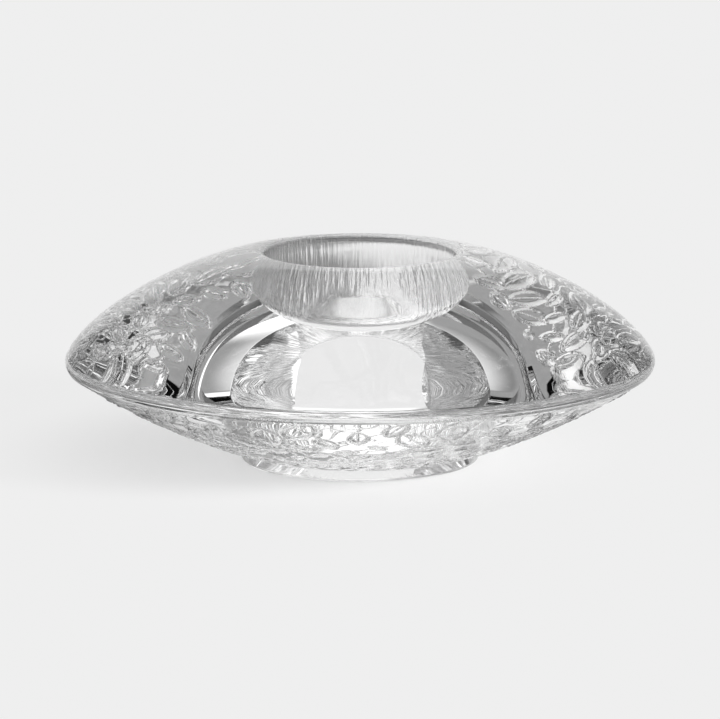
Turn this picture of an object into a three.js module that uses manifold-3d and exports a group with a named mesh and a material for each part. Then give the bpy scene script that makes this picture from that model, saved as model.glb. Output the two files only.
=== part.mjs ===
// Votive candle holder: one lens of clear cast crystal, with a well for a tealight sunk in the top,
// a smooth dome that falls to a rounded rim, a bowl-shaped underside with leaves pressed into it,
// and a short ring foot.
// Millimetres, +Z up. The origin is the centre of the ring that the foot stands on.

import Module from 'manifold-3d';
import * as THREE from 'three';
import { mergeVertices } from 'three/addons/utils/BufferGeometryUtils.js';

const wasm = await Module();
wasm.setup();

// Driving dimensions
const LENS_DIAMETER = 140;
const LENS_HEIGHT = 50;
const RIM_HEIGHT = 24.3;
const RIM_RADIUS = 2.8;
const WELL_MOUTH_DIAMETER = 45.2;
const WELL_DEPTH = 31;
const WELL_DRAFT_DEGREES = 2.3;
const WELL_FLOOR_FILLET = 8;
const LIP_RADIUS = 0.4;
const FOOT_DIAMETER = 57;
const FOOT_HEIGHT = 2.8;
const FOOT_EDGE_RADIUS = 1.4;
const RECESS_DIAMETER = 44;
const RECESS_FLAT_DIAMETER = 23;
const RECESS_RISE = 2;

// Shape of the curves between those dimensions
const RIM_TOP_DEGREES = 30;
const RIM_UNDER_DEGREES = 40;
const DOME_SHOULDER = 12.2;
const DOME_RIM_PULL = 13.4;
const UNDERSIDE_FLARE_DEGREES = 15;
const UNDERSIDE_FLARE = 17.3;
const UNDERSIDE_RIM_PULL = 2.6;

// Leaves pressed into the underside on a growing spiral, a golden angle from each to the next.
// Lengths and leans run through their ranges in even, scattered steps.
const LEAF_COUNT = 215;
const LEAF_INNER_RADIUS = 33;
const LEAF_OUTER_RADIUS = 66;
const LEAF_LENGTH_SHARE = 0.155;
const LEAF_LENGTH_SPREAD = 0.9;
const LEAF_LENGTH_STEP = 0.569840291;
const LEAF_LEAN_STEP = 0.7548776662;
const LEAF_SLENDERNESS = 0.6;
const LEAF_FIRST_TURN = 0.4;
const LEAF_DEPTH = 0.5;
const LEAF_SINK = 0.15;
const GOLDEN_ANGLE = Math.PI * (3 - Math.sqrt(5));

// The solid holds the leaves of at least this length, as far out as the bowl is nearly flat.
const SMALLEST_LEAF_LENGTH = 7;
const OUTERMOST_LEAF_RADIUS = 60;

// Fineness of the facets
const ROUND_SEGMENTS = 64;
const DOME_STEPS = 13;
const UNDERSIDE_STEPS = 12;
const FILLET_STEPS = 5;
const RIM_STEPS = 7;
const FOOT_EDGE_STEPS = 3;
const LIP_STEPS = 3;
const LEAF_LENGTH_STEPS = 4;
const LEAF_ROUND_SEGMENTS = 6;
const CURVE_SEARCH_STEPS = 40;
const WELD = 1e-4;

const LENS_RADIUS = LENS_DIAMETER / 2;
const FOOT_RADIUS = FOOT_DIAMETER / 2;
const RECESS_RADIUS = RECESS_DIAMETER / 2;
const RECESS_FLAT_RADIUS = RECESS_FLAT_DIAMETER / 2;
const WELL_FLOOR_HEIGHT = LENS_HEIGHT - WELL_DEPTH;
const LIP_CREST_RADIUS = WELL_MOUTH_DIAMETER / 2 + LIP_RADIUS;

// A profile point: its distance from the axis and its height above the table.
function point(radius, height) {
  return new THREE.Vector2(radius, height);
}

function arc(centre, radius, fromDegrees, toDegrees, steps) {
  const from = THREE.MathUtils.degToRad(fromDegrees);
  const to = THREE.MathUtils.degToRad(toDegrees);
  return new THREE.ArcCurve(centre.x, centre.y, radius, from, to, to < from).getPoints(steps);
}

// The point reached from another by going some way in a direction, counted from level outwards.
function stepFrom(start, degrees, length) {
  const heading = THREE.MathUtils.degToRad(degrees);
  return point(start.x + length * Math.cos(heading), start.y + length * Math.sin(heading));
}

// The hollow under the foot: a flat middle and a straight slope down to the contact ring.
function recess() {
  return [point(0, RECESS_RISE), point(RECESS_FLAT_RADIUS, RECESS_RISE), point(RECESS_RADIUS, 0)];
}

// The ground ring, its rounded outer edge and the short upright wall of the foot.
function foot() {
  const edgeCentre = point(FOOT_RADIUS - FOOT_EDGE_RADIUS, FOOT_EDGE_RADIUS);
  return arc(edgeCentre, FOOT_EDGE_RADIUS, -90, 0, FOOT_EDGE_STEPS);
}

// The rounded rim, from the end of the bowl to the start of the dome.
function rim() {
  const centre = point(LENS_RADIUS - RIM_RADIUS, RIM_HEIGHT);
  return arc(centre, RIM_RADIUS, -RIM_UNDER_DEGREES, RIM_TOP_DEGREES, RIM_STEPS);
}

// The bowl, which leaves the foot at a low slope and turns up into the rim.
function undersideCurve() {
  const start = point(FOOT_RADIUS, FOOT_HEIGHT);
  const end = rim()[0];
  return new THREE.CubicBezierCurve(
    start,
    stepFrom(start, UNDERSIDE_FLARE_DEGREES, UNDERSIDE_FLARE),
    stepFrom(end, -90 - RIM_UNDER_DEGREES, UNDERSIDE_RIM_PULL),
    end,
  );
}

// The dome, which rolls over from the rim and runs level into the lip of the well.
function dome() {
  const start = rim()[RIM_STEPS];
  return new THREE.CubicBezierCurve(
    start,
    stepFrom(start, 90 + RIM_TOP_DEGREES, DOME_RIM_PULL),
    point(LIP_CREST_RADIUS + DOME_SHOULDER, LENS_HEIGHT),
    point(LIP_CREST_RADIUS, LENS_HEIGHT),
  ).getPoints(DOME_STEPS);
}

// The lip, the drafted wall of the well, and the fillet that turns it into the flat floor.
function well() {
  const draft = THREE.MathUtils.degToRad(WELL_DRAFT_DEGREES);
  const lipCentre = point(LIP_CREST_RADIUS, LENS_HEIGHT - LIP_RADIUS);
  const lip = arc(lipCentre, LIP_RADIUS, 90, 180 - WELL_DRAFT_DEGREES, LIP_STEPS);
  const wallTop = lip[lip.length - 1];
  const filletHeight = WELL_FLOOR_HEIGHT + WELL_FLOOR_FILLET;
  const wallFoot = filletHeight - WELL_FLOOR_FILLET * Math.sin(draft);
  const wallFootRadius = wallTop.x - (wallTop.y - wallFoot) * Math.tan(draft);
  const filletCentre = point(wallFootRadius - WELL_FLOOR_FILLET * Math.cos(draft), filletHeight);
  const fillet = arc(filletCentre, WELL_FLOOR_FILLET, -WELL_DRAFT_DEGREES, -90, FILLET_STEPS);
  return [...lip, ...fillet, point(0, WELL_FLOOR_HEIGHT)];
}

// Neighbouring stretches share their end point, which the profile holds once.
function joinStretches(stretches) {
  const isNew = (spot, index, all) => index === 0 || spot.distanceTo(all[index - 1]) > WELD;
  return stretches.flat().filter(isNew);
}

// A closed solid from a geometry, without the triangles that a turned profile flattens on the axis.
function toSolid(geometry) {
  geometry.deleteAttribute('normal');
  geometry.deleteAttribute('uv');
  const welded = mergeVertices(geometry, WELD);
  const corners = welded.index.array;
  const triVerts = [];
  for (let first = 0; first < corners.length; first += 3) {
    const [a, b, c] = corners.slice(first, first + 3);
    if (a !== b && b !== c && c !== a) triVerts.push(a, b, c);
  }
  const mesh = new wasm.Mesh({
    numProp: 3,
    vertProperties: welded.attributes.position.array,
    triVerts: new Uint32Array(triVerts),
  });
  return new wasm.Manifold(mesh);
}

function toGeometry(solid) {
  const { vertProperties, triVerts } = solid.getMesh();
  const geometry = new THREE.BufferGeometry();
  geometry.setAttribute('position', new THREE.BufferAttribute(vertProperties, 3));
  geometry.setIndex(new THREE.BufferAttribute(triVerts, 1));
  geometry.computeVertexNormals();
  return geometry;
}

// The smooth casting, before the leaves are pressed into it.
function casting() {
  const bowl = undersideCurve().getPoints(UNDERSIDE_STEPS);
  const profile = joinStretches([recess(), foot(), bowl, rim(), dome(), well()]);
  const geometry = new THREE.LatheGeometry(profile, ROUND_SEGMENTS);
  geometry.rotateX(Math.PI / 2);
  return toSolid(geometry);
}

// A stamp for a leaf: the arc of its side, turned about the line between its two points and flattened.
// Its few sides give the hollow short upright walls and a floor that falls to a keel along the rib.
function leafSpindle(length) {
  const halfLength = length / 2;
  const halfWidth = halfLength * LEAF_SLENDERNESS;
  const radius = (halfLength ** 2 + halfWidth ** 2) / (2 * halfWidth);
  const sweepDegrees = THREE.MathUtils.radToDeg(Math.asin(halfLength / radius));
  const side = arc(point(halfWidth - radius, 0), radius, -sweepDegrees, sweepDegrees, LEAF_LENGTH_STEPS);
  const geometry = new THREE.LatheGeometry(side, LEAF_ROUND_SEGMENTS);
  geometry.rotateZ(-Math.PI / 2);
  geometry.scale(1, 1, LEAF_DEPTH / halfWidth);
  return geometry;
}

// Where along the bowl's curve a distance from the axis is reached.
function reachBowl(curve, radius) {
  let low = 0;
  let high = 1;
  for (let step = 0; step < CURVE_SEARCH_STEPS; step += 1) {
    const middle = (low + high) / 2;
    if (curve.getPoint(middle).x < radius) low = middle;
    else high = middle;
  }
  return low;
}

// The stamp of one leaf, laid flat on the bowl, turned by its lean and sunk a little.
function leafStamp(curve, radius, turn, lean, length) {
  const share = reachBowl(curve, radius);
  const spot = curve.getPoint(share);
  const slope = curve.getTangent(share);
  const round = new THREE.Vector3(-Math.sin(turn), Math.cos(turn), 0);
  const out = new THREE.Vector3(slope.x * Math.cos(turn), slope.x * Math.sin(turn), slope.y);
  const away = round.clone().cross(out);
  const place = new THREE.Matrix4().makeBasis(round, out, away);
  place.setPosition(spot.x * Math.cos(turn), spot.x * Math.sin(turn), spot.y);
  const geometry = leafSpindle(length);
  geometry.rotateZ(lean);
  geometry.translate(0, 0, -LEAF_SINK);
  geometry.applyMatrix4(place);
  return toSolid(geometry);
}

// The part of a number after its decimal point.
function fraction(value) {
  return value - Math.floor(value);
}

function leafStamps() {
  const curve = undersideCurve();
  const stamps = [];
  for (let index = 0; index < LEAF_COUNT; index += 1) {
    const growth = (index + 0.5) / LEAF_COUNT;
    const radius = LEAF_INNER_RADIUS * (LEAF_OUTER_RADIUS / LEAF_INNER_RADIUS) ** growth;
    const turn = LEAF_FIRST_TURN + index * GOLDEN_ANGLE;
    const lean = Math.PI * fraction(index * LEAF_LEAN_STEP);
    const spread = 1 + LEAF_LENGTH_SPREAD * (fraction(index * LEAF_LENGTH_STEP) - 0.5);
    const length = LEAF_LENGTH_SHARE * radius * spread;
    if (length < SMALLEST_LEAF_LENGTH || radius > OUTERMOST_LEAF_RADIUS) continue;
    stamps.push(leafStamp(curve, radius, turn, lean, length));
  }
  return stamps;
}

function glassBody() {
  const pressed = leafStamps().reduce((solid, stamp) => solid.subtract(stamp), casting());
  const crystal = new THREE.MeshStandardMaterial({ color: 0xeceeee, roughness: 0.04, metalness: 0 });
  const mesh = new THREE.Mesh(toGeometry(pressed), crystal);
  mesh.name = 'glass_body';
  return mesh;
}

const candleHolder = new THREE.Group();
candleHolder.add(glassBody());

export default candleHolder;
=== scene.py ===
"""Votive candle holder: a lens of clear cast crystal with a tealight well.

The body is one skin made from three turned shells, dressed in five finishes of one clear glass, and
set in a pale studio at the viewing angle of the picture.
"""

import logging
import math
from abc import ABC, abstractmethod
from collections.abc import Sequence
from dataclasses import dataclass, field
from enum import Enum
from typing import ClassVar, Union

import bpy
import numpy as np
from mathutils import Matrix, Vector


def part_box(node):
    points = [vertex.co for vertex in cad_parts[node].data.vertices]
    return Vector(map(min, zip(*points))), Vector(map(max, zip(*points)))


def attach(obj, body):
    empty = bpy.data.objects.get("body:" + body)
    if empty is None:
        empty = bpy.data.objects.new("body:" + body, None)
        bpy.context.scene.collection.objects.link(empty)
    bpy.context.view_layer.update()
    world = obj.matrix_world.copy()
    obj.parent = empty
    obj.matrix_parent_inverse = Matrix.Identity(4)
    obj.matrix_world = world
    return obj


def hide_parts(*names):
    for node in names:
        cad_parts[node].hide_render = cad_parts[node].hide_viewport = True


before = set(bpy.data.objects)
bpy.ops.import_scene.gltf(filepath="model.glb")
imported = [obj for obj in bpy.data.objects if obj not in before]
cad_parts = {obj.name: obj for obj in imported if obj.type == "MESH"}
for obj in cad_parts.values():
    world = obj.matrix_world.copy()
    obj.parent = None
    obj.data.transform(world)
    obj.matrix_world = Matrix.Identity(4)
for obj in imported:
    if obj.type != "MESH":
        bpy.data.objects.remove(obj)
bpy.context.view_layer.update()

MM = 0.001
BODY = "root"
NODE = "glass_body"
EDGE_NOTE = "leaf_edge"
LINE_NOTE = "leaf_line"
PICTURE_WIDTH = 720
PICTURE_HEIGHT = 719
MERGE_GAP = 0.002 * MM
GOLDEN_ANGLE = math.pi * (3.0 - math.sqrt(5.0))
LEAN_STEP = 0.7548776662
LENGTH_STEP = 0.5698402910

log = logging.getLogger("candle_holder")

Point = tuple[float, float]
Socket = bpy.types.NodeSocket
Term = Union[Socket, float]


class Zone(Enum):
    """The surfaces of the crystal body, in the order of its material slots."""

    DOME = 0
    WELL = 1
    UNDERSIDE = 2
    FOOT = 3
    RING = 4


class Mode(Enum):
    """Blender's modes for a mesh."""

    OBJECT = "OBJECT"
    EDIT = "EDIT"


class Outline(Enum):
    """Outlines of a panel of the room."""

    RECTANGLE = "rectangle"
    OVAL = "oval"


class Sight(Enum):
    """The ways in which the crystal shows a panel of the room."""

    EVERY_WAY = "mirrored by the skin and seen through the crystal"
    THROUGH = "only seen through the crystal"


def set_mode(mode: Mode) -> None:
    """Switches the active object to a mode."""
    bpy.ops.object.mode_set(mode=mode.value)


def select_only(piece: bpy.types.Object) -> None:
    """Makes one object the only selected and the active one.

    Args:
        piece: The object to select.
    """
    bpy.ops.object.select_all(action="DESELECT")
    piece.select_set(True)
    bpy.context.view_layer.objects.active = piece


def apply_modifier(piece: bpy.types.Object, modifier: bpy.types.Modifier) -> None:
    """Bakes one modifier into the mesh of a piece."""
    select_only(piece)
    bpy.ops.object.modifier_apply(modifier=modifier.name)


def arc(centre: Point, radius: float, start: float, end: float, steps: int) -> list[Point]:
    """Samples an arc of a profile.

    Args:
        centre: Distance from the axis and height of the arc's centre.
        radius: Radius of the arc.
        start: Angle where the arc starts, in degrees.
        end: Angle where the arc ends, in degrees.
        steps: Number of chords.

    Returns:
        The points of the arc, both ends included.
    """
    angles = np.radians(np.linspace(start, end, steps + 1))
    return [(centre[0] + radius * math.cos(a), centre[1] + radius * math.sin(a)) for a in angles]


def bezier(knots: Sequence[Point], steps: int) -> list[Point]:
    """Samples a cubic curve of a profile.

    Args:
        knots: The start, its handle, the end's handle and the end.
        steps: Number of chords.

    Returns:
        The points of the curve, both ends included.
    """
    p0, p1, p2, p3 = (np.array(k) for k in knots)
    t = np.linspace(0.0, 1.0, steps + 1)[:, None]
    s = 1.0 - t
    curve = s**3 * p0 + 3 * s**2 * t * p1 + 3 * s * t**2 * p2 + t**3 * p3
    return [(float(r), float(z)) for r, z in curve]


def fraction(index: np.ndarray, step: float) -> np.ndarray:
    """Spreads whole numbers evenly over 0 to 1, in a scattered order."""
    return np.mod(index * step, 1.0)


def smooth_step(value: np.ndarray) -> np.ndarray:
    """Eases values from 0 to 1 at both ends."""
    return value * value * (3.0 - 2.0 * value)


def revolve(name: str, outline: Sequence[Point], segments: int) -> bpy.types.Object:
    """Turns a profile about the Z axis.

    Args:
        name: Name of the new object.
        outline: Points of the profile, as distance from the axis and height.
        segments: Number of steps round the axis.

    Returns:
        The open shell that the profile sweeps.
    """
    bpy.ops.object.select_all(action="DESELECT")
    bpy.ops.mesh.primitive_plane_add(size=MM, location=(outline[0][0], 0.0, outline[0][1]))
    shell = bpy.context.active_object
    shell.name = name
    bpy.ops.object.transform_apply(location=True, rotation=False, scale=False)
    set_mode(Mode.EDIT)
    bpy.ops.mesh.select_all(action="SELECT")
    bpy.ops.mesh.merge(type="CENTER")
    for before, after in zip(outline, outline[1:]):
        step = (after[0] - before[0], 0.0, after[1] - before[1])
        bpy.ops.mesh.extrude_region_move(TRANSFORM_OT_translate={"value": step})
    set_mode(Mode.OBJECT)
    turn = shell.modifiers.new("turn", "SCREW")
    turn.angle = 2 * math.pi
    turn.steps = turn.render_steps = segments
    turn.use_merge_vertices = True
    turn.merge_threshold = MERGE_GAP
    apply_modifier(shell, turn)
    return shell


class NodeSheet:
    """Adds and links the nodes of one node tree."""

    def __init__(self, tree: bpy.types.NodeTree) -> None:
        """Starts work on a tree."""
        self.tree = tree

    def add(self, kind: str, **settings: object) -> bpy.types.Node:
        """Adds one node.

        Args:
            kind: The node's type name.
            settings: Properties of the node to set.

        Returns:
            The new node.
        """
        node = self.tree.nodes.new(kind)
        for name, value in settings.items():
            setattr(node, name, value)
        return node

    def put(self, socket: Socket, value: object) -> None:
        """Sets an input to a value, or links it to an output.

        Args:
            socket: The input.
            value: A plain value, or the output to link.
        """
        if isinstance(value, Socket):
            self.tree.links.new(value, socket)
        else:
            socket.default_value = value

    def math(self, operation: str, *terms: Term) -> Socket:
        """Adds a Math node.

        Args:
            operation: Name of the operation.
            terms: Values or outputs that it works on.

        Returns:
            The result.
        """
        node = self.add("ShaderNodeMath", operation=operation)
        for socket, term in zip(node.inputs, terms):
            self.put(socket, term)
        return node.outputs[0]

    def vector(self, operation: str, *terms: object) -> Socket:
        """Adds a Vector Math node.

        Args:
            operation: Name of the operation.
            terms: Vectors or outputs that it works on.

        Returns:
            The resulting vector.
        """
        node = self.add("ShaderNodeVectorMath", operation=operation)
        for socket, term in zip(node.inputs, terms):
            self.put(socket, term)
        return node.outputs[0]

    def split(self, place: Socket) -> tuple[Socket, ...]:
        """Splits a place into its X, Y and Z.

        Args:
            place: The place.

        Returns:
            The three coordinates.
        """
        node = self.add("ShaderNodeSeparateXYZ")
        self.put(node.inputs[0], place)
        return tuple(node.outputs)

    def join(self, x: Term, y: Term, z: Term) -> Socket:
        """Joins three coordinates.

        Args:
            x: The first coordinate.
            y: The second coordinate.
            z: The third coordinate.

        Returns:
            The place that they give.
        """
        node = self.add("ShaderNodeCombineXYZ")
        for socket, term in zip(node.inputs, (x, y, z)):
            self.put(socket, term)
        return node.outputs[0]

    def reach(self, place: Socket, centre: Point = (0.0, 0.0)) -> Socket:
        """Measures the level distance of a place from an upright line.

        Args:
            place: The place.
            centre: Where the line stands.

        Returns:
            The distance.
        """
        x, y, _ = self.split(self.vector("SUBTRACT", place, centre + (0.0,)))
        square = self.math("MULTIPLY", x, x)
        return self.math("SQRT", self.math("MULTIPLY_ADD", y, y, square))

    def ramp(self, value: Term, span: Point, levels: Point) -> Socket:
        """Maps a value smoothly from one range to another.

        Args:
            value: The value.
            span: Where the change starts and ends.
            levels: Results at the start and at the end.

        Returns:
            The mapped value.
        """
        node = self.add("ShaderNodeMapRange", interpolation_type="SMOOTHSTEP")
        for socket, term in zip(node.inputs, (value, *span, *levels)):
            self.put(socket, term)
        return node.outputs[0]

    def mix(self, factor: Term, first: Term, second: Term) -> Socket:
        """Mixes two values.

        Args:
            factor: Share of the second value.
            first: The first value.
            second: The second value.

        Returns:
            The mixed value.
        """
        node = self.add("ShaderNodeMix", data_type="FLOAT")
        for name, term in (("Factor", factor), ("A", first), ("B", second)):
            self.put(node.inputs[name], term)
        return node.outputs["Result"]

    def noise(self, place: Socket, scale: float, detail: float, bend: float = 0.0) -> Socket:
        """Adds a noise pattern.

        Args:
            place: Where the pattern is read.
            scale: Waves per metre.
            detail: Number of finer layers.
            bend: Amount of distortion.

        Returns:
            The pattern, about 0.5.
        """
        node = self.add("ShaderNodeTexNoise")
        for name, term in (("Vector", place), ("Scale", scale), ("Detail", detail), ("Distortion", bend)):
            self.put(node.inputs[name], term)
        return node.outputs["Fac"]


class Relief(ABC):
    """A pattern of height over the crystal, kept as a shader node group.

    Attributes:
        name: Name of the node group.
        settings: Names of the group's number inputs.
    """

    name: ClassVar[str]
    settings: ClassVar[tuple[str, ...]] = ()

    @abstractmethod
    def draw(self, sheet: NodeSheet, entry: bpy.types.Node) -> Socket:
        """Builds the pattern.

        Args:
            sheet: The group's nodes.
            entry: The group's input node, with the Position of a place on the piece.

        Returns:
            The height of the pattern.
        """

    def group(self) -> bpy.types.NodeTree:
        """Makes the node group at its first use.

        Returns:
            The node group.
        """
        found = bpy.data.node_groups.get(self.name)
        if found is not None:
            return found
        tree = bpy.data.node_groups.new(self.name, "ShaderNodeTree")
        tree.interface.new_socket("Position", in_out="INPUT", socket_type="NodeSocketVector")
        for setting in self.settings:
            tree.interface.new_socket(setting, in_out="INPUT", socket_type="NodeSocketFloat")
        tree.interface.new_socket("Height", in_out="OUTPUT", socket_type="NodeSocketFloat")
        sheet = NodeSheet(tree)
        entry = sheet.add("NodeGroupInput")
        leave = sheet.add("NodeGroupOutput")
        sheet.put(leave.inputs["Height"], self.draw(sheet, entry))
        return tree

    def place(self, sheet: NodeSheet, position: Socket, **settings: float) -> Socket:
        """Adds the group to a node tree.

        Args:
            sheet: The tree's nodes.
            position: Where the pattern is read.
            settings: Values of the group's number inputs.

        Returns:
            The height of the pattern.
        """
        node = sheet.add("ShaderNodeGroup", node_tree=self.group())
        sheet.put(node.inputs["Position"], position)
        for name, value in settings.items():
            sheet.put(node.inputs[name], value)
        return node.outputs["Height"]


@dataclass(frozen=True)
class CastRipple(Relief):
    """Slow waves left in a fire-polished surface."""

    name: ClassVar[str] = "cast_ripple"
    scale: float = 45.0
    detail: float = 1.0

    def draw(self, sheet: NodeSheet, entry: bpy.types.Node) -> Socket:
        """Draws the waves."""
        return sheet.noise(entry.outputs["Position"], self.scale, self.detail)


@dataclass(frozen=True)
class Streaks(Relief):
    """Streaks that run straight up a wall, or straight out over a floor.

    The group's Count is the number of streaks per radian, and its Drift the changes along a streak
    per metre.
    """

    name: ClassVar[str] = "streaks"
    settings: ClassVar[tuple[str, ...]] = ("Count", "Drift")
    detail: float = 2.0

    def draw(self, sheet: NodeSheet, entry: bpy.types.Node) -> Socket:
        """Draws the streaks.

        Args:
            sheet: The group's nodes.
            entry: The group's input node.

        Returns:
            The height of the streaks, about 0.5.
        """
        place = entry.outputs["Position"]
        x, y, z = sheet.split(place)
        outward = sheet.vector("NORMALIZE", sheet.join(x, y, 0.0))
        around = sheet.vector("MULTIPLY", outward, entry.outputs["Count"])
        travel = sheet.math("ADD", z, sheet.reach(place))
        shift = sheet.join(0.0, 0.0, sheet.math("MULTIPLY", travel, entry.outputs["Drift"]))
        return sheet.noise(sheet.vector("ADD", around, shift), 1.0, self.detail)


CAST_RIPPLE = CastRipple()
STREAKS = Streaks()


@dataclass(frozen=True)
class ChillMarks(Relief):
    """Upright streaks that a plunger leaves on the wall of a well, with a dull back.

    Attributes:
        count: Streaks per radian.
        drift: Changes along a streak, per metre.
        side: Distances to the side over which the streaks grow heavier.
        side_weight: Weight that they gain at the sides.
        side_drop: How much further down they reach at the sides.
        front: Places from front to back over which the streaks grow lighter.
        front_weights: Their weights at the front and at the back.
        upper: Heights over which the streaks set in.
        dull: Places from front to back over which the wall turns dull.
        dull_height: Height of the dull back.
    """

    name: ClassVar[str] = "chill_marks"
    count: float = 24.0
    drift: float = 70.0
    side: Point = (5.0 * MM, 14.0 * MM)
    side_weight: float = 0.4
    side_drop: float = 13.0 * MM
    front: Point = (-8.0 * MM, 4.0 * MM)
    front_weights: Point = (0.4, 0.2)
    upper: Point = (33.0 * MM, 41.0 * MM)
    dull: Point = (-4.0 * MM, 14.0 * MM)
    dull_height: float = 0.6

    def draw(self, sheet: NodeSheet, entry: bpy.types.Node) -> Socket:
        """Draws the marks.

        Args:
            sheet: The group's nodes.
            entry: The group's input node.

        Returns:
            The height of the marks.
        """
        place = entry.outputs["Position"]
        x, y, z = sheet.split(place)
        side = sheet.ramp(sheet.math("ABSOLUTE", x), self.side, (0.0, 1.0))
        front = sheet.ramp(y, self.front, self.front_weights)
        weight = sheet.math("MULTIPLY_ADD", side, self.side_weight, front)
        height = sheet.math("MULTIPLY_ADD", side, self.side_drop, z)
        strength = sheet.math("MULTIPLY", sheet.ramp(height, self.upper, (0.0, 1.0)), weight)
        dull = sheet.ramp(y, self.dull, (0.0, self.dull_height))
        streaks = STREAKS.place(sheet, place, Count=self.count, Drift=self.drift)
        return sheet.math("MULTIPLY_ADD", streaks, strength, dull)


@dataclass(frozen=True)
class ShearMarks(Relief):
    """Two scars where the gather was sheared, with hair-thin streaks, in the hollow under the foot.

    Attributes:
        scar_start: Distance to the side where a scar starts.
        scar_slope: Rise of a scar per metre.
        wander: How far a scar's edge wanders.
        wander_scale: Waves of that edge, per metre.
        wander_detail: Number of finer layers in those waves.
        hair_start: Distances from the axis over which the streaks set in.
        hair_end: Distances from the axis over which they fade.
        hair_end_share: Share of them that is left at the end.
        hair_height: Height of the streaks.
        count: Streaks per radian.
        drift: Changes along a streak, per metre.
    """

    name: ClassVar[str] = "shear_marks"
    scar_start: float = 10.5 * MM
    scar_slope: float = 0.4 / MM
    wander: float = 4.5 * MM
    wander_scale: float = 70.0
    wander_detail: float = 2.0
    hair_start: Point = (10.5 * MM, 12.5 * MM)
    hair_end: Point = (19.0 * MM, 22.0 * MM)
    hair_end_share: float = 0.3
    hair_height: float = 0.06
    count: float = 40.0
    drift: float = 90.0

    def draw(self, sheet: NodeSheet, entry: bpy.types.Node) -> Socket:
        """Draws the scars and their streaks.

        Args:
            sheet: The group's nodes.
            entry: The group's input node.

        Returns:
            The height of the marks.
        """
        place = entry.outputs["Position"]
        noise = sheet.noise(place, self.wander_scale, self.wander_detail)
        off = sheet.math("ABSOLUTE", sheet.split(place)[0])
        off = sheet.math("MULTIPLY_ADD", sheet.math("SUBTRACT", noise, 0.5), self.wander, off)
        scar = sheet.math("MAXIMUM", sheet.math("SUBTRACT", off, self.scar_start), 0.0)
        reach = sheet.reach(place)
        start = sheet.ramp(reach, self.hair_start, (0.0, 1.0))
        end = sheet.ramp(reach, self.hair_end, (1.0, self.hair_end_share))
        strength = sheet.math("MULTIPLY", sheet.math("MULTIPLY", start, end), self.hair_height)
        streaks = STREAKS.place(sheet, place, Count=self.count, Drift=self.drift)
        hair = sheet.math("MULTIPLY", streaks, strength)
        return sheet.math("MULTIPLY_ADD", scar, self.scar_slope, hair)


@dataclass(frozen=True)
class PressedLines(Relief):
    """Crisp edges of the leaves and their stems, with wavy chill lines between them near the rim.

    Attributes:
        bead_width: Half of the width of a leaf's edge line.
        stem_width: Half of the width of a stem or rib.
        stem_height: Height of a stem, as a share of an edge line's.
        wave_scale: Chill lines per metre.
        wave_bend: How much the chill lines wind.
        wave_width: Width of a chill line, as a share of the pattern's range.
        wave_span: Distances from the axis over which the chill lines set in.
        wave_height: Height of the chill lines, as a share of an edge line's.
    """

    name: ClassVar[str] = "pressed_lines"
    bead_width: float = 0.45 * MM
    stem_width: float = 0.4 * MM
    stem_height: float = 0.8
    wave_scale: float = 190.0
    wave_bend: float = 0.6
    wave_width: float = 0.05
    wave_span: Point = (34.0 * MM, 46.0 * MM)
    wave_height: float = 0.7

    def draw(self, sheet: NodeSheet, entry: bpy.types.Node) -> Socket:
        """Draws the lines from the distances that are noted on the mesh.

        Args:
            sheet: The group's nodes.
            entry: The group's input node.

        Returns:
            The height of the lines.
        """
        place = entry.outputs["Position"]
        edge = sheet.add("ShaderNodeAttribute", attribute_name=EDGE_NOTE).outputs["Fac"]
        line = sheet.add("ShaderNodeAttribute", attribute_name=LINE_NOTE).outputs["Fac"]
        bead = sheet.ramp(sheet.math("ABSOLUTE", edge), (0.0, self.bead_width), (1.0, 0.0))
        stem = sheet.ramp(line, (0.0, self.stem_width), (self.stem_height, 0.0))
        noise = sheet.noise(place, self.wave_scale, 0.0, self.wave_bend)
        crease = sheet.math("ABSOLUTE", sheet.math("SUBTRACT", noise, 0.5))
        wave = sheet.ramp(crease, (0.0, self.wave_width), (1.0, 0.0))
        strength = sheet.ramp(sheet.reach(place), self.wave_span, (0.0, self.wave_height))
        return sheet.math("MULTIPLY_ADD", wave, strength, sheet.math("MAXIMUM", bead, stem))


@dataclass(frozen=True)
class CrystalFinish:
    """A finish of the clear crystal.

    Attributes:
        name: Name of the material.
        relief: Pattern of fine height over the surface.
        depth: Height of the pattern, in metres.
        smooth: Roughness in the hollows of the pattern.
        rough: Roughness on the heights of the pattern.
        rough_span: Heights of the pattern over which it turns rough.
        refraction: Refractive index of the crystal.
        tint: Colour of the crystal.
    """

    name: str
    relief: Relief
    depth: float
    smooth: float = 0.0
    rough: float = 0.0
    rough_span: Point = (0.3, 0.7)
    refraction: float = 1.52
    tint: tuple[float, float, float, float] = (1.0, 1.0, 1.0, 1.0)

    def material(self) -> bpy.types.Material:
        """Builds the material.

        Returns:
            A new glass material with the finish's relief in its normal and roughness.
        """
        made = bpy.data.materials.new(self.name)
        made.use_nodes = True
        sheet = NodeSheet(made.node_tree)
        shader = made.node_tree.nodes["Principled BSDF"]
        shader.inputs["Base Color"].default_value = self.tint
        shader.inputs["Transmission Weight"].default_value = 1.0
        shader.inputs["IOR"].default_value = self.refraction
        shader.inputs["Roughness"].default_value = self.smooth
        place = sheet.add("ShaderNodeTexCoord").outputs["Object"]
        height = self.relief.place(sheet, place)
        bump = sheet.add("ShaderNodeBump")
        sheet.put(bump.inputs["Height"], height)
        sheet.put(bump.inputs["Strength"], 1.0)
        sheet.put(bump.inputs["Distance"], self.depth)
        sheet.put(shader.inputs["Normal"], bump.outputs["Normal"])
        if self.rough > self.smooth:
            levels = (self.smooth, self.rough)
            sheet.put(shader.inputs["Roughness"], sheet.ramp(height, self.rough_span, levels))
        return made


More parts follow.
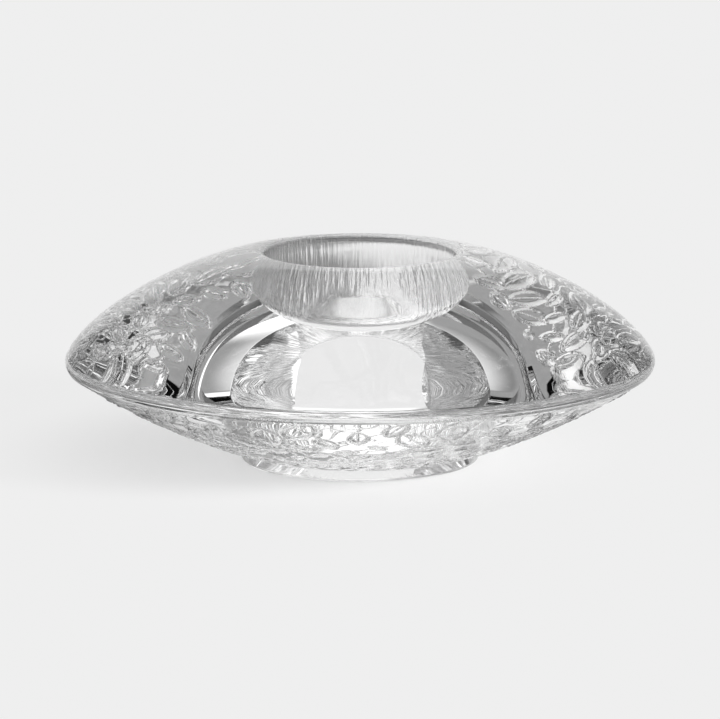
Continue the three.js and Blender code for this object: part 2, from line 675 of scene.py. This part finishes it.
FINISHES: dict[Zone, CrystalFinish] = {
    Zone.DOME: CrystalFinish("polished_crystal", CAST_RIPPLE, 0.02 * MM),
    Zone.WELL: CrystalFinish("plunger_pressed_crystal", ChillMarks(), 2.0 * MM, 0.07, 0.32),
    Zone.UNDERSIDE: CrystalFinish("pressed_crystal", PressedLines(), 0.35 * MM),
    Zone.FOOT: CrystalFinish("foot_crystal", ShearMarks(), 1.0 * MM),
    Zone.RING: CrystalFinish("ground_crystal", CAST_RIPPLE, 0.02 * MM, 0.0, 0.02),
}


@dataclass
class LeafRelief:
    """Shallow leaves scattered over the underside on a growing spiral, larger towards the rim.

    Attributes:
        count: Number of leaves.
        inner: Distance from the axis of the innermost leaf.
        outer: Distance from the axis of the outermost leaf.
        length_share: Mean length of a leaf as a share of its distance from the axis.
        slenderness: Width of a leaf as a share of its length.
        depth: Depth of the relief, from the top of a leaf's bead to its floor.
        wall: Width of the sloped wall inside the bead.
        bead: Width of the raised bead round a leaf.
        bead_share: Share of the depth by which the bead stands above the ground.
        size_spread: Spread of the leaves' lengths about their mean.
        rib_share: Half of the length of a leaf's rib, as a share of the leaf's length.
        near_share: How far from its middle a leaf is measured, as a share of its length.
        stem_step: Number of leaves from one to the next on the same stem.
        first_turn: Angle of the first leaf round the axis.
        swell: Height of the slow waves in the ground.
        swell_length: Length of the slow waves.
        swell_count: Number of slow waves that cross.
    """

    count: int = 230
    inner: float = 31.3 * MM
    outer: float = 66.0 * MM
    length_share: float = 0.155
    slenderness: float = 0.52
    depth: float = 0.62 * MM
    wall: float = 0.5 * MM
    bead: float = 0.65 * MM
    bead_share: float = 0.5
    size_spread: float = 0.9
    rib_share: float = 0.38
    near_share: float = 2.0
    stem_step: int = 21
    first_turn: float = 0.4
    swell: float = 0.07 * MM
    swell_length: float = 10.0 * MM
    swell_count: int = 6

    def leaf(self, x: np.ndarray, y: np.ndarray, length: float) -> np.ndarray:
        """Measures places against the outline of one leaf, a pair of arcs that meet in two points.

        Args:
            x: Places along the leaf, from its middle.
            y: Places across the leaf, from its middle.
            length: Length of the leaf from point to point.

        Returns:
            The distance of each place from the outline, positive inside the leaf.
        """
        half_length = 0.5 * length
        half_width = half_length * self.slenderness
        radius = (half_length**2 + half_width**2) / (2 * half_width)
        offset = radius - half_width
        along, across = np.abs(x), np.abs(y)
        past_point = (along - half_length) * offset > across * half_length
        to_point = np.hypot(along - half_length, across)
        to_arc = np.hypot(along, across + offset) - radius
        return -np.where(past_point, to_point, to_arc)

    def layout(self) -> tuple[np.ndarray, np.ndarray, np.ndarray, np.ndarray]:
        """Lays the leaves out on their spiral.

        Returns:
            Each leaf's distance from the axis, its angle round it, its lean and its length.
        """
        number = np.arange(self.count)
        middle = self.inner * (self.outer / self.inner) ** ((number + 0.5) / self.count)
        turn = self.first_turn + number * GOLDEN_ANGLE
        lean = math.pi * fraction(number, LEAN_STEP)
        spread = 1.0 + self.size_spread * (fraction(number, LENGTH_STEP) - 0.5)
        return middle, turn, lean, self.length_share * middle * spread

    def lines_at(self, place: np.ndarray, along: np.ndarray) -> tuple[np.ndarray, np.ndarray]:
        """Measures each point of the underside against the leaves.

        Args:
            place: Points of the surface, one row each.
            along: Length of the profile from the foot to each point.

        Returns:
            The distance of each point inside the outline of the nearest leaf, negative between the
            leaves, and its distance from the nearest stem, or rib inside a leaf.
        """
        radius = np.hypot(place[:, 0], place[:, 1])
        angle = np.arctan2(place[:, 1], place[:, 0])
        order = np.argsort(radius)
        middle, turn, lean, length = self.layout()
        middle_along = np.interp(middle, radius[order], along[order])
        edge = np.full(len(place), -self.outer)
        rib = np.full(len(place), self.outer)
        stem = np.full(len(place), self.outer)
        for i in range(self.count):
            x = (np.mod(angle - turn[i] + math.pi, 2 * math.pi) - math.pi) * middle[i]
            y = along - middle_along[i]
            near = np.flatnonzero(np.hypot(x, y) < self.near_share * length[i])
            c, s = math.cos(lean[i]), math.sin(lean[i])
            u, v = c * x[near] + s * y[near], c * y[near] - s * x[near]
            edge[near] = np.maximum(edge[near], self.leaf(u, v, length[i]))
            past_rib = np.maximum(np.abs(u) - self.rib_share * length[i], 0.0)
            rib[near] = np.minimum(rib[near], np.hypot(past_rib, v))
            j = i + self.stem_step
            if j >= self.count:
                continue
            way_x = (math.fmod(turn[j] - turn[i], 2 * math.pi) + math.pi) % (2 * math.pi) - math.pi
            way = np.array([way_x * middle[i], middle_along[j] - middle_along[i]])
            share = np.clip((x * way[0] + y * way[1]) / (way @ way), 0.0, 1.0)
            stem = np.minimum(stem, np.hypot(x - share * way[0], y - share * way[1]))
        return edge, np.where(edge > 0.0, rib, stem)

    def swell_at(self, place: np.ndarray) -> np.ndarray:
        """Gives the height of the slow waves that the mould's ground leaves in the crystal.

        Args:
            place: Points of the surface, one row each.

        Returns:
            The share of the relief's depth that each point stands above or below the plain form.
        """
        wave = np.zeros(len(place))
        for number in range(1, self.swell_count + 1):
            heading = number * GOLDEN_ANGLE
            pitch = 2 * math.pi / (self.swell_length * (0.8 + 0.1 * number))
            travel = place[:, 0] * math.cos(heading) + place[:, 1] * math.sin(heading)
            wave += np.sin(pitch * travel + number * number)
        return wave / self.swell_count * self.swell / self.depth

    def height_at(self, edge: np.ndarray) -> np.ndarray:
        """Gives the height of the relief across a leaf's outline.

        Args:
            edge: Distance inside the outline.

        Returns:
            The share of the depth, from 0 on the floor of a leaf to 1 on its bead.
        """
        ground = 1.0 - self.bead_share
        rise = np.clip(1.0 - np.abs(edge) / (0.5 * self.bead), 0.0, 1.0)
        bead = ground + self.bead_share * smooth_step(rise)
        fall = np.clip((edge - 0.25 * self.bead) / self.wall, 0.0, 1.0)
        return bead * (1.0 - smooth_step(fall))


@dataclass
class CrystalBody:
    """The one casting: dome, lip, well, rim, underside and foot.

    Attributes:
        radius: Distance from the axis to the rim, from the CAD solid.
        height: Height of the lip above the table, from the CAD solid.
        rim_top: Angle above level where the rim ends in the dome, in degrees.
        rim_under: Angle below level where the rim ends in the bowl, in degrees.
        well_draft: Lean of the well's wall, in degrees.
        recess_flat: Distance from the axis to the crease round the recess's flat middle.
        recess_blend: Width by which that crease is rounded, to each side.
        flare: Length of the handle with which the bowl leaves the foot.
        flare_slope: Slope of that handle, in degrees.
        edge_hold: Small step that keeps a face off a rounded edge.
        relief_pack: Power by which the rows of the bowl crowd towards the foot.
        relief_fade: Length over which the relief fades at both ends of the bowl.
        edge_find: How far from a stated height an open edge is still found.
        smooth_angle: Largest angle between faces that shade as one, in degrees.
    """

    radius: float
    height: float
    rim_height: float = 24.3 * MM
    rim_radius: float = 2.8 * MM
    rim_top: float = 30.0
    rim_under: float = 40.0
    rim_steps: int = 14
    mouth_radius: float = 22.6 * MM
    well_depth: float = 31.0 * MM
    well_draft: float = 2.3
    well_fillet: float = 8.0 * MM
    fillet_steps: int = 10
    lip_radius: float = 1.1 * MM
    lip_steps: int = 8
    foot_radius: float = 28.5 * MM
    foot_height: float = 2.8 * MM
    foot_edge: float = 1.4 * MM
    foot_steps: int = 6
    recess_radius: float = 22.0 * MM
    recess_flat: float = 11.5 * MM
    recess_rise: float = 2.0 * MM
    recess_blend: float = 1.0 * MM
    recess_steps: int = 6
    dome_shoulder: float = 12.2 * MM
    dome_pull: float = 13.4 * MM
    dome_steps: int = 26
    flare: float = 17.3 * MM
    flare_slope: float = 15.0
    underside_pull: float = 2.6 * MM
    underside_steps: int = 400
    edge_hold: float = 0.2 * MM
    plain_segments: int = 176
    relief_segments: int = 704
    relief_rows: int = 120
    relief_pack: float = 1.45
    relief_fade: float = 1.5 * MM
    edge_find: float = 0.01 * MM
    smooth_angle: float = 40.0
    leaves: LeafRelief = field(default_factory=LeafRelief)

    @property
    def floor_height(self) -> float:
        """Height of the well's floor above the table."""
        return self.height - self.well_depth

    @property
    def bowl_top(self) -> float:
        """Height above the table where the bowl ends in the rounded rim."""
        return self.rim()[0][1]

    @property
    def crest_radius(self) -> float:
        """Distance from the axis to the crest of the lip."""
        return self.mouth_radius + self.lip_radius

    def rim(self) -> list[Point]:
        """Profile of the rounded rim, from the end of the bowl to the start of the dome."""
        centre = (self.radius - self.rim_radius, self.rim_height)
        return arc(centre, self.rim_radius, -self.rim_under, self.rim_top, self.rim_steps)

    def recess(self) -> list[Point]:
        """Draws the hollow under the foot: a flat middle and a straight slope to the contact ring.

        Returns:
            Its profile, from the axis outwards.
        """
        width = self.recess_radius - self.recess_flat
        blend = self.recess_blend
        turn = self.recess_rise * blend / width
        start = (self.recess_flat - blend, self.recess_rise)
        crease = (self.recess_flat, self.recess_rise)
        end = (self.recess_flat + blend, self.recess_rise - turn)
        rounded = bezier([start, crease, crease, end], self.recess_steps)
        return [(0.0, self.recess_rise)] + rounded + [(self.recess_radius, 0.0)]

    def foot(self) -> list[Point]:
        """Draws the contact ring and the foot's rounded edge.

        Returns:
            Their profile, from the recess outwards.
        """
        edge_centre = (self.foot_radius - self.foot_edge, self.foot_edge)
        hold = (self.recess_radius + self.edge_hold, 0.0)
        return [hold] + arc(edge_centre, self.foot_edge, -90.0, 0.0, self.foot_steps)

    def underside(self) -> list[Point]:
        """Draws the bowl, from the foot to the rim.

        Returns:
            Its profile, with closer points near the foot.
        """
        slope = math.radians(self.flare_slope)
        steep = math.radians(self.rim_under)
        pull = self.underside_pull
        start = (self.foot_radius, self.foot_height)
        leave = (start[0] + self.flare * math.cos(slope), start[1] + self.flare * math.sin(slope))
        end = self.rim()[0]
        arrive = (end[0] - pull * math.sin(steep), end[1] - pull * math.cos(steep))
        curve = np.array(bezier([start, leave, arrive, end], self.underside_steps))
        along = self.lengths(curve)
        rows = along[-1] * np.linspace(0.0, 1.0, self.relief_rows + 1) ** self.relief_pack
        reach = np.interp(rows, along, curve[:, 0])
        rise = np.interp(rows, along, curve[:, 1])
        return list(zip(reach.tolist(), rise.tolist()))

    @staticmethod
    def lengths(curve: np.ndarray) -> np.ndarray:
        """Gives the length of a curve from its start to each of its points."""
        return np.concatenate([[0.0], np.cumsum(np.hypot(*np.diff(curve, axis=0).T))])

    def dome(self) -> list[Point]:
        """Draws the dome.

        Returns:
            Its profile, from the rim to the crest of the lip.
        """
        start = self.rim()[-1]
        lean = math.radians(self.rim_top)
        pull = self.dome_pull
        leave = (start[0] - pull * math.sin(lean), start[1] + pull * math.cos(lean))
        arrive = (self.crest_radius + self.dome_shoulder, self.height)
        return bezier([start, leave, arrive, (self.crest_radius, self.height)], self.dome_steps)

    def well(self) -> list[Point]:
        """Draws the lip, the wall of the well, its fillet and its floor.

        Returns:
            Their profile, from the crest of the lip to the axis.
        """
        draft = math.radians(self.well_draft)
        lip_centre = (self.crest_radius, self.height - self.lip_radius)
        lip = arc(lip_centre, self.lip_radius, 90.0, 180.0 - self.well_draft, self.lip_steps)
        top_radius, top_height = lip[-1]
        centre_height = self.floor_height + self.well_fillet
        foot_height = centre_height - self.well_fillet * math.sin(draft)
        foot_radius = top_radius - (top_height - foot_height) * math.tan(draft)
        centre = (foot_radius - self.well_fillet * math.cos(draft), centre_height)
        fillet = arc(centre, self.well_fillet, -self.well_draft, -90.0, self.fillet_steps)
        return lip + fillet + [(0.5 * centre[0], self.floor_height), (0.0, self.floor_height)]

    def build(self) -> bpy.types.Object:
        """Models the body: three turned shells, of which the bowl is the finest, joined into one skin.

        Returns:
            The finished piece.
        """
        base = revolve("base", self.recess() + self.foot()[:-1], self.plain_segments)
        bowl = revolve("bowl", self.underside(), self.relief_segments)
        crown = revolve("crown", self.rim()[1:] + self.dome()[1:] + self.well()[1:], self.plain_segments)
        select_only(bowl)
        base.select_set(True)
        crown.select_set(True)
        bpy.ops.object.join()
        bowl.name = "crystal_body"
        self.bridge(bowl, 0.0, self.foot_height)
        self.bridge(bowl, self.bowl_top, self.height)
        set_mode(Mode.EDIT)
        bpy.ops.mesh.select_all(action="SELECT")
        bpy.ops.mesh.remove_doubles(threshold=MERGE_GAP)
        bpy.ops.mesh.normals_make_consistent(inside=False)
        set_mode(Mode.OBJECT)
        self.raise_leaves(bowl)
        bpy.ops.object.shade_smooth_by_angle(angle=math.radians(self.smooth_angle))
        return bowl

    def bridge(self, piece: bpy.types.Object, low: float, high: float) -> None:
        """Closes the gap between the two open edges that lie within a range of heights.

        Args:
            piece: The joined shells.
            low: Lowest height of the two edges.
            high: Highest height of the two edges.
        """
        select_only(piece)
        set_mode(Mode.EDIT)
        bpy.ops.mesh.select_mode(type="EDGE")
        bpy.ops.mesh.select_all(action="DESELECT")
        bpy.ops.mesh.select_non_manifold(use_wire=False, use_multi_face=False, use_verts=False)
        set_mode(Mode.OBJECT)
        heights = self.points(piece)[:, 2]
        for edge in piece.data.edges:
            height = heights[edge.vertices[0]]
            edge.select = edge.select and low - self.edge_find < height < high + self.edge_find
        set_mode(Mode.EDIT)
        bpy.ops.mesh.bridge_edge_loops()
        set_mode(Mode.OBJECT)

    @staticmethod
    def points(piece: bpy.types.Object) -> np.ndarray:
        """Reads the places of a piece's vertices.

        Args:
            piece: The piece.

        Returns:
            The places, one row each.
        """
        flat = np.zeros(3 * len(piece.data.vertices))
        piece.data.vertices.foreach_get("co", flat)
        return flat.reshape(-1, 3)

    def raise_leaves(self, piece: bpy.types.Object) -> None:
        """Presses the leaves into the underside, and notes the distances to their lines for the finish.

        Args:
            piece: The joined and closed body.
        """
        place = self.points(piece)
        radius = np.hypot(place[:, 0], place[:, 1])
        low = (place[:, 2] < self.bowl_top) & (radius > self.foot_radius + self.edge_hold)
        below = np.flatnonzero(low)
        curve = np.array(self.underside())
        lengths = self.lengths(curve)
        along = np.interp(radius[below], curve[:, 0], lengths)
        edge, line = self.leaves.lines_at(place[below], along)
        fade = np.clip(np.minimum(along, lengths[-1] - along) / self.relief_fade, 0.0, 1.0)
        sunk = 1.0 - self.leaves.height_at(edge) + self.leaves.swell_at(place[below])
        cut = fade * np.clip(sunk, 0.0, 1.0)
        group = piece.vertex_groups.new(name="leaves")
        for vertex, weight in zip(below.tolist(), cut.tolist()):
            group.add([vertex], weight, "REPLACE")
        press = piece.modifiers.new("leaves", "DISPLACE")
        press.vertex_group = group.name
        press.mid_level = 0.0
        press.strength = -self.leaves.depth
        apply_modifier(piece, press)
        piece.vertex_groups.clear()
        for name, values in ((EDGE_NOTE, edge), (LINE_NOTE, line)):
            note = np.full(len(place), self.radius)
            note[below] = values
            piece.data.attributes.new(name, "FLOAT", "POINT").data.foreach_set("value", note)

    def zone_of(self, face: bpy.types.MeshPolygon) -> Zone:
        """Names the surface that a face belongs to, by its place.

        Args:
            face: The face.

        Returns:
            The surface.
        """
        spot = face.center
        reach = math.hypot(spot.x, spot.y)
        if reach < self.crest_radius and spot.z > 0.5 * self.floor_height:
            return Zone.WELL
        if spot.z > self.bowl_top:
            return Zone.DOME
        if reach > self.foot_radius and spot.z > self.foot_height - 2 * self.leaves.depth:
            return Zone.UNDERSIDE
        if reach > self.recess_radius:
            return Zone.RING if spot.z < 0.1 * self.foot_edge else Zone.DOME
        return Zone.FOOT

    def dress(self, piece: bpy.types.Object) -> None:
        """Gives each surface of the body its finish, and the body its place in the frame.

        Args:
            piece: The finished body.
        """
        piece.data.materials.clear()
        for zone in Zone:
            piece.data.materials.append(FINISHES[zone].material())
        zones = [self.zone_of(face).value for face in piece.data.polygons]
        piece.data.polygons.foreach_set("material_index", zones)
        piece.data.update()
        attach(piece, BODY)
        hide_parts(NODE)


@dataclass(frozen=True)
class PaperAndPaintedLight:
    """The pale floor: plain paper, with its white kept for the camera, and with painted light and painted
    shade where it is seen through the crystal.

    Attributes:
        colour: Grey level of the paper.
        roughness: Roughness of the paper.
        white: Grey level of the pale background, where 1 is white.
        shadow_centre: Middle of the shadow that the camera sees.
        shadow_span: Distances from there over which painted white fades the shadow out.
        shadow_glow: Share of the background in the shadow and beyond it.
        hollow_span: Distances from the axis over which the painted light under the foot ends.
        hollow_share: Share of painted white under the foot, seen through the crystal.
        shade_start: Distances from the axis over which the painted shade under the rim starts.
        shade_end: Distances from the axis over which that shade ends.
        shade_share: How much of the paper that shade covers.
        shade_back: Places from front to back over which the shade thins.
        shade_back_share: Share of the shade that is left at the back.
        shade_glow: Brightness of the painted shade.
        far_span: Distances from the axis over which the open floor starts.
        far_share: Share of the background on the open floor, seen through the crystal.
        lit_centre: Middle of the painted patch of key light in front, seen through the crystal.
        lit_span: Distances from there over which the patch fades.
        foot_span: Distances from the axis over which the painted shade starts beside the foot.
    """

    colour: float = 0.86
    roughness: float = 0.9
    white: float = 0.862
    shadow_centre: Point = (-10.0 * MM, 10.0 * MM)
    shadow_span: Point = (0.0, 85.0 * MM)
    shadow_glow: Point = (0.52, 0.96)
    hollow_span: Point = (19.0 * MM, 25.0 * MM)
    hollow_share: float = 0.85
    shade_start: Point = (34.0 * MM, 44.0 * MM)
    shade_end: Point = (70.0 * MM, 90.0 * MM)
    shade_share: float = 0.75
    shade_back: Point = (5.0 * MM, 30.0 * MM)
    shade_back_share: float = 0.2
    shade_glow: float = 0.18
    far_span: Point = (65.0 * MM, 95.0 * MM)
    far_share: float = 0.15
    lit_centre: Point = (28.0 * MM, -42.0 * MM)
    lit_span: Point = (26.0 * MM, 44.0 * MM)
    foot_span: Point = (22.0 * MM, 30.0 * MM)

    def through_share(self, sheet: NodeSheet, place: Socket, reach: Socket) -> Socket:
        """Gives the share of the paper's painted glow that shows through the crystal: painted light under
        the foot, painted shade and light under the rim, and white on the open floor.

        Args:
            sheet: The material's nodes.
            place: Where the floor is seen.
            reach: Distance of that place from the axis.

        Returns:
            The share, from 0 to 1.
        """
        # Painted light under the foot.
        hollow = sheet.ramp(reach, self.hollow_span, (self.hollow_share, 0.0))
        far = sheet.ramp(reach, self.far_span, (0.0, self.far_share))
        # Painted shade under the rim, thinner towards the back.
        shade = sheet.ramp(reach, self.shade_start, (0.0, self.shade_share))
        shade = sheet.math("MULTIPLY", shade, sheet.ramp(reach, self.shade_end, (1.0, 0.0)))
        thin = sheet.ramp(sheet.split(place)[1], self.shade_back, (1.0, self.shade_back_share))
        shade = sheet.math("MULTIPLY", shade, thin)
        return sheet.math("ADD", sheet.math("ADD", far, hollow), shade)

    def through_glow(self, sheet: NodeSheet, place: Socket, reach: Socket) -> Socket:
        """Gives the brightness of that glow: white, but for the painted shade under the rim, outside the
        painted patch of key light.

        Args:
            sheet: The material's nodes.
            place: Where the floor is seen.
            reach: Distance of that place from the axis.

        Returns:
            The strength of the glow.
        """
        # A painted patch of key light in front, and painted white beside the foot and on the open floor,
        # where the painted shade gives way.
        lit = sheet.ramp(sheet.reach(place, self.lit_centre), self.lit_span, (1.0, 0.0))
        lit = sheet.math("MAXIMUM", lit, sheet.ramp(reach, self.foot_span, (1.0, 0.0)))
        lit = sheet.math("MAXIMUM", lit, sheet.ramp(reach, self.shade_end, (0.0, 1.0)))
        return sheet.mix(lit, self.shade_glow, 1.0 / self.white)

    def material(self) -> bpy.types.Material:
        """Builds the material.

        Returns:
            A paper that takes the object's shadow and joins the pale background, with painted light and
            painted shade where the crystal shows it.
        """
        made = bpy.data.materials.new("pale_paper_with_painted_light")
        made.use_nodes = True
        sheet = NodeSheet(made.node_tree)
        shader = made.node_tree.nodes["Principled BSDF"]
        shader.inputs["Base Color"].default_value = (self.colour,) * 3 + (1.0,)
        shader.inputs["Roughness"].default_value = self.roughness
        shader.inputs["Specular IOR Level"].default_value = 0.0
        path = sheet.add("ShaderNodeLightPath")
        crossing = path.outputs["Is Transmission Ray"]
        place = sheet.add("ShaderNodeTexCoord").outputs["Object"]
        reach = sheet.reach(place)
        # For the camera, painted white fades the shadow out with distance from its middle.
        away = sheet.reach(place, self.shadow_centre)
        seen = sheet.ramp(away, self.shadow_span, self.shadow_glow)
        seen = sheet.math("MULTIPLY", path.outputs["Is Camera Ray"], seen)
        through = self.through_share(sheet, place, reach)
        pale = sheet.add("ShaderNodeEmission")
        sheet.put(pale.inputs["Color"], (self.white,) * 3 + (1.0,))
        # Seen through the crystal, the paper shows painted light and painted shade.
        glow = self.through_glow(sheet, place, reach)
        sheet.put(pale.inputs["Strength"], sheet.mix(crossing, 1.0, glow))
        blend = sheet.add("ShaderNodeMixShader")
        sheet.put(blend.inputs[0], sheet.math("MULTIPLY_ADD", crossing, through, seen))
        sheet.put(blend.inputs[1], shader.outputs[0])
        sheet.put(blend.inputs[2], pale.outputs[0])
        sheet.put(made.node_tree.nodes["Material Output"].inputs["Surface"], blend.outputs[0])
        return made


@dataclass(frozen=True)
class RoomRay:
    """What the room's nodes know of a ray.

    Attributes:
        turn: Its direction round the object, in degrees from +Y towards +X.
        rise: Its height above the horizon, in degrees.
        through: 1 for light that comes through the crystal, 0 for light that its skin mirrors.
    """

    turn: Socket
    rise: Socket
    through: Socket


@dataclass(frozen=True)
class Panel:
    """A surface of the room as the crystal sees it, by its direction from the object.

    Attributes:
        turn: Direction of its middle round the object, in degrees from +Y towards +X.
        reach: Half of its width, in degrees.
        rise: Height of its middle above the horizon, in degrees.
        span: Half of its height, in degrees.
        glow: Its brightness, where 1 is white.
        soft: Width of its soft edge, in degrees.
        sight: How the crystal shows it.
        outline: Its outline.
    """

    turn: float
    reach: float
    rise: float
    span: float
    glow: float
    soft: float = 8.0
    sight: Sight = Sight.EVERY_WAY
    outline: Outline = Outline.RECTANGLE

    def edge(self, size: float) -> Point:
        """Gives the angles over which the panel ends, about a half size."""
        return (size - 0.5 * self.soft, size + 0.5 * self.soft)

    def paint(self, sheet: NodeSheet, ray: RoomRay, under: Term) -> Socket:
        """Paints the panel over what lies behind it.

        Args:
            sheet: The world's nodes.
            ray: The ray that meets the room.
            under: Brightness behind the panel.

        Returns:
            The brightness with the panel in front.
        """
        off = sheet.math("WRAP", sheet.math("SUBTRACT", ray.turn, self.turn), 180.0, -180.0)
        off = sheet.math("ABSOLUTE", off)
        above = sheet.math("ABSOLUTE", sheet.math("SUBTRACT", ray.rise, self.rise))
        if self.outline is Outline.OVAL:
            above = sheet.math("MULTIPLY", above, self.reach / self.span)
            square = sheet.math("MULTIPLY_ADD", off, off, sheet.math("POWER", above, 2.0))
            cover = sheet.ramp(sheet.math("SQRT", square), self.edge(self.reach), (1.0, 0.0))
        else:
            across = sheet.ramp(off, self.edge(self.reach), (1.0, 0.0))
            up = sheet.ramp(above, self.edge(self.span), (1.0, 0.0))
            cover = sheet.math("MULTIPLY", across, up)
        if self.sight is Sight.THROUGH:
            cover = sheet.math("MULTIPLY", cover, ray.through)
        return sheet.mix(cover, under, self.glow)


ROOM: tuple[Panel, ...] = (
    # The ceiling, and the white soft box under it.
    Panel(0.0, 181.0, 75.0, 20.0, 0.35),
    Panel(0.0, 181.0, 82.0, 16.0, 1.4, 6.0, Sight.THROUGH),
    # The side walls, the wall behind the camera and the wall behind the object.
    Panel(-90.0, 22.0, 12.0, 22.0, 0.16, 14.0),
    Panel(90.0, 22.0, 12.0, 22.0, 0.16, 14.0),
    Panel(180.0, 55.0, 15.0, 50.0, 0.55),
    Panel(0.0, 66.0, 5.0, 45.0, 0.34),
    # The pale backdrop with its darker border.
    Panel(-3.0, 22.5, 5.5, 22.5, 0.25, 1.5, outline=Outline.OVAL),
    Panel(0.0, 21.2, 5.5, 21.2, 0.862, 7.5, outline=Outline.OVAL),
    # White cards beside the backdrop, above it and above the camera.
    Panel(29.5, 5.0, 11.0, 13.0, 1.4, 2.0, Sight.THROUGH),
    Panel(12.0, 20.0, 41.0, 17.0, 1.3, 4.0, Sight.THROUGH),
    Panel(180.0, 32.0, 60.0, 14.0, 2.5, 4.0, Sight.THROUGH),
)


@dataclass
class Studio:
    """The pale floor, the soft light round the object and the camera.

    Attributes:
        background: Grey level of the background that the camera sees, where 1 is white.
        floor_drop: How far the floor lies below the foot, so that the two faces do not coincide.
        fill: Brightness of the even light on the floor.
        dark_room: Brightness of the room between its panels.
        key_turn: Direction of the key light round the object, in degrees from +Y towards +X.
        key_rise: Height of the key light above the horizon, in degrees.
        key_angle: Width of the key light, in degrees.
        key_share: Light that the key gives to the level floor, where 1 is white.
        camera_rise: Height of the camera above the horizon, in degrees.
        target_height: Height above the table of the point that the camera looks at.
        pixels_per_metre: Scale of the picture at that point.
        sensor: Width of the camera's sensor, in millimetres.
        picture_centre: Where that point falls in the picture, in pixels.
    """

    background: float = 0.862
    floor_width: float = 1.6
    floor_length: float = 8.0
    floor_drop: float = 0.15 * MM
    paper: PaperAndPaintedLight = PaperAndPaintedLight()
    panels: tuple[Panel, ...] = ROOM
    fill: float = 0.2
    dark_room: float = 0.06
    key_turn: float = 124.0
    key_rise: float = 21.0
    key_angle: float = 14.0
    key_share: float = 0.8
    camera_rise: float = 11.0
    camera_distance: float = 1.1
    target_height: float = 25.0 * MM
    pixels_per_metre: float = 4207.0
    sensor: float = 36.0
    picture_centre: Point = (359.8, 354.4)

    def build_floor(self) -> None:
        """Adds the floor with its place and size in its mesh."""
        bpy.ops.object.select_all(action="DESELECT")
        bpy.ops.mesh.primitive_plane_add(size=1.0, location=(0.0, 0.0, -self.floor_drop))
        floor = bpy.context.active_object
        floor.name = "studio_floor"
        floor.scale = (self.floor_width, self.floor_length, 1.0)
        bpy.ops.object.transform_apply(location=True, rotation=False, scale=True)
        floor.data.materials.append(self.paper.material())

    def build_world(self) -> None:
        """Paints the room as the crystal sees it, with an even fill for the floor."""
        world = bpy.data.worlds.new("studio_room")
        bpy.context.scene.world = world
        world.use_nodes = True
        sheet = NodeSheet(world.node_tree)
        path = sheet.add("ShaderNodeLightPath")
        x, y, z = sheet.split(sheet.add("ShaderNodeTexCoord").outputs["Generated"])
        turn = sheet.math("DEGREES", sheet.math("ARCTAN2", x, y))
        rise = sheet.math("DEGREES", sheet.math("ARCSINE", z))
        ray = RoomRay(turn, rise, path.outputs["Is Transmission Ray"])
        room: Term = self.dark_room
        for panel in self.panels:
            room = panel.paint(sheet, ray, room)
        lit = sheet.mix(path.outputs["Is Diffuse Ray"], room, self.fill)
        seen = sheet.mix(path.outputs["Is Camera Ray"], lit, self.background)
        sheet.put(world.node_tree.nodes["Background"].inputs["Color"], seen)

    def build_key(self) -> None:
        """Adds the key light, which casts the soft shadow and which the crystal itself does not show."""
        lamp = bpy.data.lights.new("key_light", "SUN")
        lamp.angle = math.radians(self.key_angle)
        turn, rise = math.radians(self.key_turn), math.radians(self.key_rise)
        lamp.energy = self.key_share * math.pi / math.sin(rise)
        holder = bpy.data.objects.new("key_light", lamp)
        bpy.context.scene.collection.objects.link(holder)
        level = math.cos(rise)
        way = Vector((math.sin(turn) * level, math.cos(turn) * level, math.sin(rise)))
        holder.location = way
        holder.rotation_euler = (-way).to_track_quat("-Z", "Y").to_euler()
        holder.visible_glossy = False
        holder.visible_transmission = False

    def build_camera(self) -> None:
        """Sets the camera at the viewing angle of the picture."""
        lens = bpy.data.cameras.new("camera")
        camera = bpy.data.objects.new("camera", lens)
        bpy.context.scene.collection.objects.link(camera)
        rise = math.radians(self.camera_rise)
        back = self.camera_distance * math.cos(rise)
        up = self.camera_distance * math.sin(rise)
        camera.location = (0.0, -back, self.target_height + up)
        camera.rotation_euler = (math.pi / 2 - rise, 0.0, 0.0)
        lens.sensor_width = self.sensor
        lens.lens = self.pixels_per_metre * self.camera_distance * self.sensor / PICTURE_WIDTH
        lens.shift_x = (PICTURE_WIDTH / 2 - self.picture_centre[0]) / -PICTURE_WIDTH
        lens.shift_y = (self.picture_centre[1] - PICTURE_HEIGHT / 2) / PICTURE_WIDTH
        bpy.context.scene.camera = camera

    def build(self) -> None:
        """Builds the whole studio."""
        bpy.context.scene.view_settings.view_transform = "Standard"
        self.build_floor()
        self.build_world()
        self.build_key()
        self.build_camera()


def main() -> None:
    """Builds the crystal body and the studio round it."""
    logging.basicConfig(level=logging.INFO, format="%(name)s: %(message)s")
    low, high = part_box(NODE)
    body = CrystalBody(radius=0.5 * (high.x - low.x), height=high.z - low.z)
    piece = body.build()
    body.dress(piece)
    log.info("%s: %d faces", piece.name, len(piece.data.polygons))
    Studio().build()
    log.info("studio ready")


if __name__ == "__main__":
    main()
